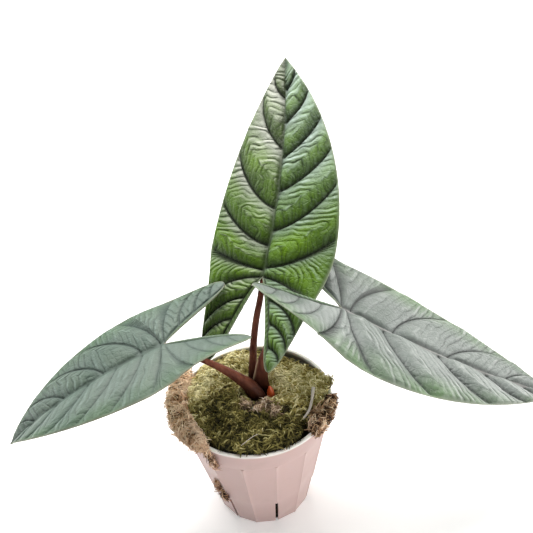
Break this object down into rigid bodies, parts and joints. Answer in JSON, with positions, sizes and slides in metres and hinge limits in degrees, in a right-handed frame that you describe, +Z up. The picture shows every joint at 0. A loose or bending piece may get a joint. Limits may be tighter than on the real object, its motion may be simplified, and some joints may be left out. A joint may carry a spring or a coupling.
{
  "type": "potted alocasia plant",
  "caption": "Potted alocasia with quilted arrow-shaped leaf blades on dark stalks, rising from moss over coir in a faceted, slotted nursery pot that stands on its flat base.",
  "frame": {"origin": "centre of the pot's flat base, on the surface it stands on", "axes": "+Z up along the pot's axis; -Y towards the viewer of the picture, who looks down at the plant; +X to that viewer's right"},
  "size_m": [0.3201, 0.1775, 0.2282],
  "materials": {
    "pot_plastic": "satin",
    "growing_mix": "rough",
    "moss": "fibrous",
    "coir": "fibrous",
    "dry_leaf": "dry",
    "rootstock": "rough",
    "bud": "satin",
    "stalk": "satin",
    "blade_green": "satin",
    "blade_grey": "satin",
    "blade_silver": "satin"
  },
  "bodies": {
    "root": {"pot": "pot_plastic", "growing_mix": "growing_mix", "moss_cover": "moss", "coir_left": "coir", "coir_right": "coir", "coir_side": "coir", "dry_strip": "dry_leaf", "rootstock": "rootstock", "shoot_bud": "bud", "stalk_centre": "stalk", "stalk_left": "stalk", "stalk_right": "stalk", "blade_centre": "blade_green", "blade_left": "blade_grey", "blade_right": "blade_silver"}
  },
  "joints": []
}
